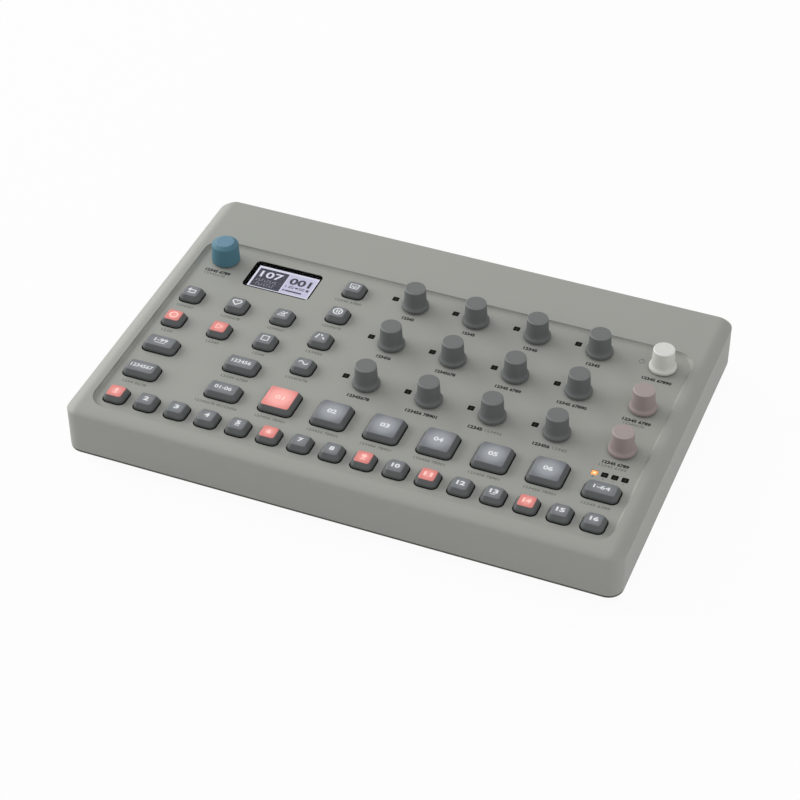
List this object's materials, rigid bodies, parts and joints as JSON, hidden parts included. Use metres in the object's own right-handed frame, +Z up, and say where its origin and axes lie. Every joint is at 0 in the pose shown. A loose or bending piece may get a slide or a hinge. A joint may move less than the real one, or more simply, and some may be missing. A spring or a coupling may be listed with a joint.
{
  "type": "drum machine",
  "caption": "Flat table-top drum machine with step keys, pads, small round knobs, a push encoder, a small display and rear sockets.",
  "frame": {"origin": "on the table, under the middle of the case", "axes": "+X to the player's right, +Y away from the player, +Z up"},
  "size_m": [0.27, 0.18, 0.041],
  "materials": {
    "case": "fine matt grey paint",
    "base": "matt dark grey",
    "key_grey": "matt translucent dark grey",
    "key_lit": "lit coral red",
    "knob_grey": "matt grey, soft touch",
    "knob_white": "matt pale grey",
    "knob_mauve": "matt grey mauve",
    "knob_blue": "matt blue grey",
    "board": "glass-fibre board with parts",
    "display": "clear lens over a pale backlit display",
    "rubber": "matt black",
    "dark": "matt black"
  },
  "bodies": {
    "case": {"top_case": "case", "bottom_case": "base", "circuit_board": "board", "display_module": "display", "feet_and_screws": "rubber"},
    "step_key_01": {"step_key_01": "key_lit"},
    "step_key_02": {"step_key_02": "key_grey"},
    "step_key_03": {"step_key_03": "key_grey"},
    "step_key_04": {"step_key_04": "key_grey"},
    "step_key_05": {"step_key_05": "key_grey"},
    "step_key_06": {"step_key_06": "key_lit"},
    "step_key_07": {"step_key_07": "key_grey"},
    "step_key_08": {"step_key_08": "key_grey"},
    "step_key_09": {"step_key_09": "key_lit"},
    "step_key_10": {"step_key_10": "key_grey"},
    "step_key_11": {"step_key_11": "key_lit"},
    "step_key_12": {"step_key_12": "key_grey"},
    "step_key_13": {"step_key_13": "key_grey"},
    "step_key_14": {"step_key_14": "key_lit"},
    "step_key_15": {"step_key_15": "key_grey"},
    "step_key_16": {"step_key_16": "key_grey"},
    "return_key": {"return_key": "key_grey"},
    "favourite_key": {"favourite_key": "key_grey"},
    "metronome_key": {"metronome_key": "key_grey"},
    "record_key": {"record_key": "key_lit"},
    "play_key": {"play_key": "key_lit"},
    "stop_key": {"stop_key": "key_grey"},
    "preset_key": {"preset_key": "key_grey"},
    "keyboard_key": {"keyboard_key": "key_grey"},
    "accent_key": {"accent_key": "key_grey"},
    "wave_key": {"wave_key": "key_grey"},
    "function_key": {"function_key": "key_grey"},
    "pattern_key": {"pattern_key": "key_grey"},
    "repeat_key": {"repeat_key": "key_grey"},
    "track_key": {"track_key": "key_grey"},
    "page_key": {"page_key": "key_grey"},
    "pad_1": {"pad_1": "key_lit"},
    "pad_2": {"pad_2": "key_grey"},
    "pad_3": {"pad_3": "key_grey"},
    "pad_4": {"pad_4": "key_grey"},
    "pad_5": {"pad_5": "key_grey"},
    "pad_6": {"pad_6": "key_grey"},
    "pitch_knob": {"pitch_knob": "knob_grey"},
    "decay_knob": {"decay_knob": "knob_grey"},
    "colour_knob": {"colour_knob": "knob_grey"},
    "shape_knob": {"shape_knob": "knob_grey"},
    "sweep_knob": {"sweep_knob": "knob_grey"},
    "contour_knob": {"contour_knob": "knob_grey"},
    "delay_knob": {"delay_knob": "knob_grey"},
    "reverb_knob": {"reverb_knob": "knob_grey"},
    "speed_knob": {"speed_knob": "knob_grey"},
    "level_knob": {"level_knob": "knob_grey"},
    "swing_knob": {"swing_knob": "knob_grey"},
    "chance_knob": {"chance_knob": "knob_grey"},
    "main_volume_knob": {"main_volume_knob": "knob_white"},
    "reverb_size_knob": {"reverb_size_knob": "knob_mauve"},
    "delay_time_knob": {"delay_time_knob": "knob_mauve"},
    "encoder_plunger": {"encoder_plunger": "dark"},
    "encoder_knob": {"encoder_knob": "knob_blue"},
    "power_button": {"power_button": "dark"}
  },
  "joints": [
    {"name": "step_key_01_press", "type": "slide", "parent": "case", "child": "step_key_01", "axis": [0, 0, -1], "range_m": [0, 0.001], "stiffness_N_per_m": 600},
    {"name": "step_key_02_press", "type": "slide", "parent": "case", "child": "step_key_02", "axis": [0, 0, -1], "range_m": [0, 0.001], "stiffness_N_per_m": 600},
    {"name": "step_key_03_press", "type": "slide", "parent": "case", "child": "step_key_03", "axis": [0, 0, -1], "range_m": [0, 0.001], "stiffness_N_per_m": 600},
    {"name": "step_key_04_press", "type": "slide", "parent": "case", "child": "step_key_04", "axis": [0, 0, -1], "range_m": [0, 0.001], "stiffness_N_per_m": 600},
    {"name": "step_key_05_press", "type": "slide", "parent": "case", "child": "step_key_05", "axis": [0, 0, -1], "range_m": [0, 0.001], "stiffness_N_per_m": 600},
    {"name": "step_key_06_press", "type": "slide", "parent": "case", "child": "step_key_06", "axis": [0, 0, -1], "range_m": [0, 0.001], "stiffness_N_per_m": 600},
    {"name": "step_key_07_press", "type": "slide", "parent": "case", "child": "step_key_07", "axis": [0, 0, -1], "range_m": [0, 0.001], "stiffness_N_per_m": 600},
    {"name": "step_key_08_press", "type": "slide", "parent": "case", "child": "step_key_08", "axis": [0, 0, -1], "range_m": [0, 0.001], "stiffness_N_per_m": 600},
    {"name": "step_key_09_press", "type": "slide", "parent": "case", "child": "step_key_09", "axis": [0, 0, -1], "range_m": [0, 0.001], "stiffness_N_per_m": 600},
    {"name": "step_key_10_press", "type": "slide", "parent": "case", "child": "step_key_10", "axis": [0, 0, -1], "range_m": [0, 0.001], "stiffness_N_per_m": 600},
    {"name": "step_key_11_press", "type": "slide", "parent": "case", "child": "step_key_11", "axis": [0, 0, -1], "range_m": [0, 0.001], "stiffness_N_per_m": 600},
    {"name": "step_key_12_press", "type": "slide", "parent": "case", "child": "step_key_12", "axis": [0, 0, -1], "range_m": [0, 0.001], "stiffness_N_per_m": 600},
    {"name": "step_key_13_press", "type": "slide", "parent": "case", "child": "step_key_13", "axis": [0, 0, -1], "range_m": [0, 0.001], "stiffness_N_per_m": 600},
    {"name": "step_key_14_press", "type": "slide", "parent": "case", "child": "step_key_14", "axis": [0, 0, -1], "range_m": [0, 0.001], "stiffness_N_per_m": 600},
    {"name": "step_key_15_press", "type": "slide", "parent": "case", "child": "step_key_15", "axis": [0, 0, -1], "range_m": [0, 0.001], "stiffness_N_per_m": 600},
    {"name": "step_key_16_press", "type": "slide", "parent": "case", "child": "step_key_16", "axis": [0, 0, -1], "range_m": [0, 0.001], "stiffness_N_per_m": 600},
    {"name": "return_key_press", "type": "slide", "parent": "case", "child": "return_key", "axis": [0, 0, -1], "range_m": [0, 0.001], "stiffness_N_per_m": 600},
    {"name": "favourite_key_press", "type": "slide", "parent": "case", "child": "favourite_key", "axis": [0, 0, -1], "range_m": [0, 0.001], "stiffness_N_per_m": 600},
    {"name": "metronome_key_press", "type": "slide", "parent": "case", "child": "metronome_key", "axis": [0, 0, -1], "range_m": [0, 0.001], "stiffness_N_per_m": 600},
    {"name": "record_key_press", "type": "slide", "parent": "case", "child": "record_key", "axis": [0, 0, -1], "range_m": [0, 0.001], "stiffness_N_per_m": 600},
    {"name": "play_key_press", "type": "slide", "parent": "case", "child": "play_key", "axis": [0, 0, -1], "range_m": [0, 0.001], "stiffness_N_per_m": 600},
    {"name": "stop_key_press", "type": "slide", "parent": "case", "child": "stop_key", "axis": [0, 0, -1], "range_m": [0, 0.001], "stiffness_N_per_m": 600},
    {"name": "preset_key_press", "type": "slide", "parent": "case", "child": "preset_key", "axis": [0, 0, -1], "range_m": [0, 0.001], "stiffness_N_per_m": 600},
    {"name": "keyboard_key_press", "type": "slide", "parent": "case", "child": "keyboard_key", "axis": [0, 0, -1], "range_m": [0, 0.001], "stiffness_N_per_m": 600},
    {"name": "accent_key_press", "type": "slide", "parent": "case", "child": "accent_key", "axis": [0, 0, -1], "range_m": [0, 0.001], "stiffness_N_per_m": 600},
    {"name": "wave_key_press", "type": "slide", "parent": "case", "child": "wave_key", "axis": [0, 0, -1], "range_m": [0, 0.001], "stiffness_N_per_m": 600},
    {"name": "function_key_press", "type": "slide", "parent": "case", "child": "function_key", "axis": [0, 0, -1], "range_m": [0, 0.001], "stiffness_N_per_m": 600},
    {"name": "pattern_key_press", "type": "slide", "parent": "case", "child": "pattern_key", "axis": [0, 0, -1], "range_m": [0, 0.001], "stiffness_N_per_m": 600},
    {"name": "repeat_key_press", "type": "slide", "parent": "case", "child": "repeat_key", "axis": [0, 0, -1], "range_m": [0, 0.001], "stiffness_N_per_m": 600},
    {"name": "track_key_press", "type": "slide", "parent": "case", "child": "track_key", "axis": [0, 0, -1], "range_m": [0, 0.001], "stiffness_N_per_m": 600},
    {"name": "page_key_press", "type": "slide", "parent": "case", "child": "page_key", "axis": [0, 0, -1], "range_m": [0, 0.001], "stiffness_N_per_m": 600},
    {"name": "pad_1_press", "type": "slide", "parent": "case", "child": "pad_1", "axis": [0, 0, -1], "range_m": [0, 0.0008], "stiffness_N_per_m": 800},
    {"name": "pad_2_press", "type": "slide", "parent": "case", "child": "pad_2", "axis": [0, 0, -1], "range_m": [0, 0.0008], "stiffness_N_per_m": 800},
    {"name": "pad_3_press", "type": "slide", "parent": "case", "child": "pad_3", "axis": [0, 0, -1], "range_m": [0, 0.0008], "stiffness_N_per_m": 800},
    {"name": "pad_4_press", "type": "slide", "parent": "case", "child": "pad_4", "axis": [0, 0, -1], "range_m": [0, 0.0008], "stiffness_N_per_m": 800},
    {"name": "pad_5_press", "type": "slide", "parent": "case", "child": "pad_5", "axis": [0, 0, -1], "range_m": [0, 0.0008], "stiffness_N_per_m": 800},
    {"name": "pad_6_press", "type": "slide", "parent": "case", "child": "pad_6", "axis": [0, 0, -1], "range_m": [0, 0.0008], "stiffness_N_per_m": 800},
    {"name": "pitch_knob_turn", "type": "hinge", "parent": "case", "child": "pitch_knob", "pos_m": [-0.0119, 0.0418, 0.0267], "axis": [0, 0, 1], "range_deg": [-150, 150]},
    {"name": "decay_knob_turn", "type": "hinge", "parent": "case", "child": "decay_knob", "pos_m": [0.01932, 0.0418, 0.0267], "axis": [0, 0, 1], "range_deg": [-150, 150]},
    {"name": "colour_knob_turn", "type": "hinge", "parent": "case", "child": "colour_knob", "pos_m": [0.05055, 0.0418, 0.0267], "axis": [0, 0, 1], "range_deg": [-150, 150]},
    {"name": "shape_knob_turn", "type": "hinge", "parent": "case", "child": "shape_knob", "pos_m": [0.08178, 0.0418, 0.0267], "axis": [0, 0, 1], "range_deg": [-150, 150]},
    {"name": "sweep_knob_turn", "type": "hinge", "parent": "case", "child": "sweep_knob", "pos_m": [-0.0119, 0.01055, 0.0267], "axis": [0, 0, 1], "range_deg": [-150, 150]},
    {"name": "contour_knob_turn", "type": "hinge", "parent": "case", "child": "contour_knob", "pos_m": [0.01932, 0.01055, 0.0267], "axis": [0, 0, 1], "range_deg": [-150, 150]},
    {"name": "delay_knob_turn", "type": "hinge", "parent": "case", "child": "delay_knob", "pos_m": [0.05055, 0.01055, 0.0267], "axis": [0, 0, 1], "range_deg": [-150, 150]},
    {"name": "reverb_knob_turn", "type": "hinge", "parent": "case", "child": "reverb_knob", "pos_m": [0.08178, 0.01055, 0.0267], "axis": [0, 0, 1], "range_deg": [-150, 150]},
    {"name": "speed_knob_turn", "type": "hinge", "parent": "case", "child": "speed_knob", "pos_m": [-0.0119, -0.0207, 0.0267], "axis": [0, 0, 1], "range_deg": [-150, 150]},
    {"name": "level_knob_turn", "type": "hinge", "parent": "case", "child": "level_knob", "pos_m": [0.01932, -0.0207, 0.0267], "axis": [0, 0, 1], "range_deg": [-150, 150]},
    {"name": "swing_knob_turn", "type": "hinge", "parent": "case", "child": "swing_knob", "pos_m": [0.05055, -0.0207, 0.0267], "axis": [0, 0, 1], "range_deg": [-150, 150]},
    {"name": "chance_knob_turn", "type": "hinge", "parent": "case", "child": "chance_knob", "pos_m": [0.08178, -0.0207, 0.0267], "axis": [0, 0, 1], "range_deg": [-150, 150]},
    {"name": "main_volume_knob_turn", "type": "hinge", "parent": "case", "child": "main_volume_knob", "pos_m": [0.113, 0.0418, 0.0267], "axis": [0, 0, 1], "range_deg": [-150, 150]},
    {"name": "reverb_size_knob_turn", "type": "hinge", "parent": "case", "child": "reverb_size_knob", "pos_m": [0.113, 0.01055, 0.0267], "axis": [0, 0, 1], "range_deg": [-150, 150]},
    {"name": "delay_time_knob_turn", "type": "hinge", "parent": "case", "child": "delay_time_knob", "pos_m": [0.113, -0.0207, 0.0267], "axis": [0, 0, 1], "range_deg": [-150, 150]},
    {"name": "encoder_push", "type": "slide", "parent": "case", "child": "encoder_plunger", "axis": [0, 0, -1], "range_m": [0, 0.0005], "stiffness_N_per_m": 1200},
    {"name": "encoder_turn", "type": "hinge", "parent": "encoder_plunger", "child": "encoder_knob", "pos_m": [-0.113, 0.0418, 0.0267], "axis": [0, 0, 1], "continuous": true},
    {"name": "power_button_press", "type": "slide", "parent": "case", "child": "power_button", "axis": [0, -1, 0], "range_m": [0, 0.0012], "stiffness_N_per_m": 600}
  ]
}
